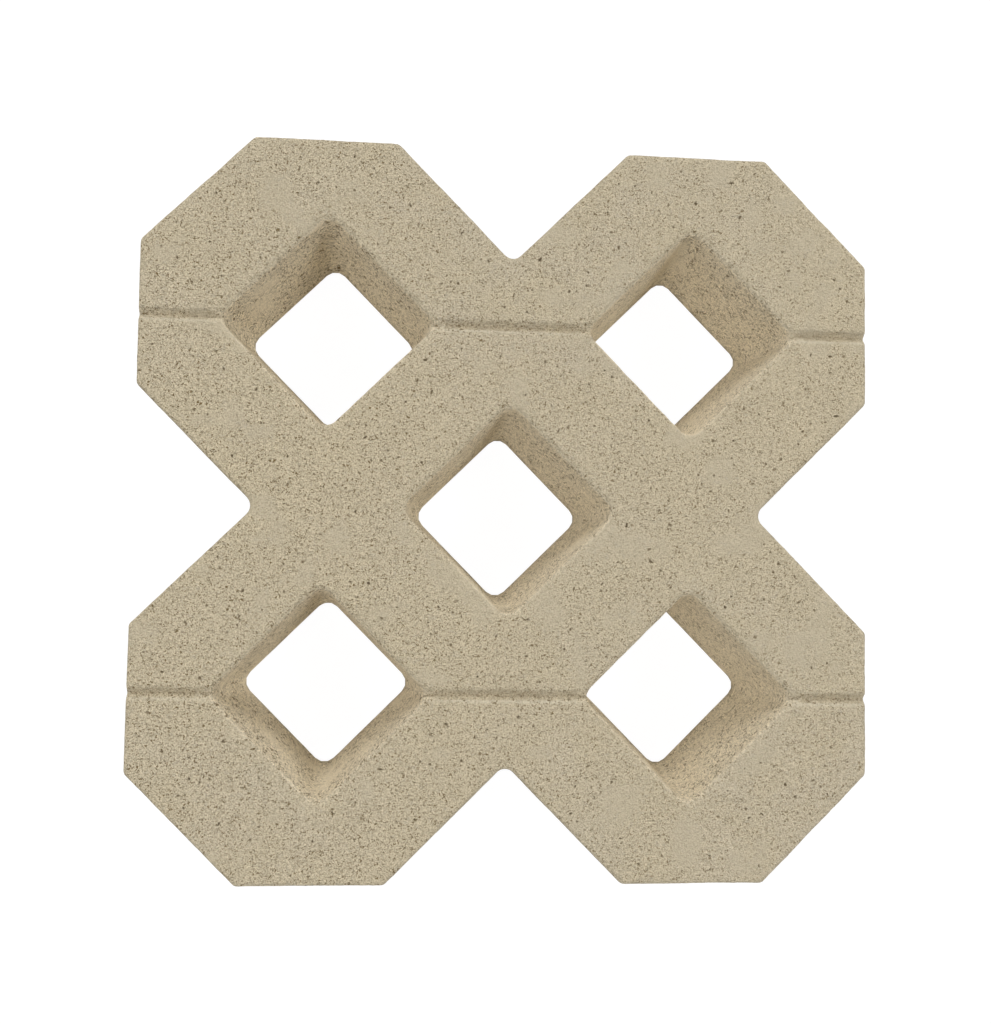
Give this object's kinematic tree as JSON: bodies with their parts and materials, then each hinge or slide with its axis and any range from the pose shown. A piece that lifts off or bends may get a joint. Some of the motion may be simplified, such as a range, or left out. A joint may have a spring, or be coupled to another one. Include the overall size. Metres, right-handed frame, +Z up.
{
  "type": "grass paver",
  "caption": "Square cast concrete lattice paver with turned square openings, notched sides and cut corners, for a surface that grass grows through.",
  "frame": {"origin": "middle of the face that lies on the ground", "axes": "+Z up out of the face that is walked on, +X along the false joints, +Y across them"},
  "size_m": [0.4, 0.4, 0.08],
  "materials": {
    "concrete": "matte, sandy, open-grained"
  },
  "bodies": {
    "root": {"paver_block": "concrete"}
  },
  "joints": []
}
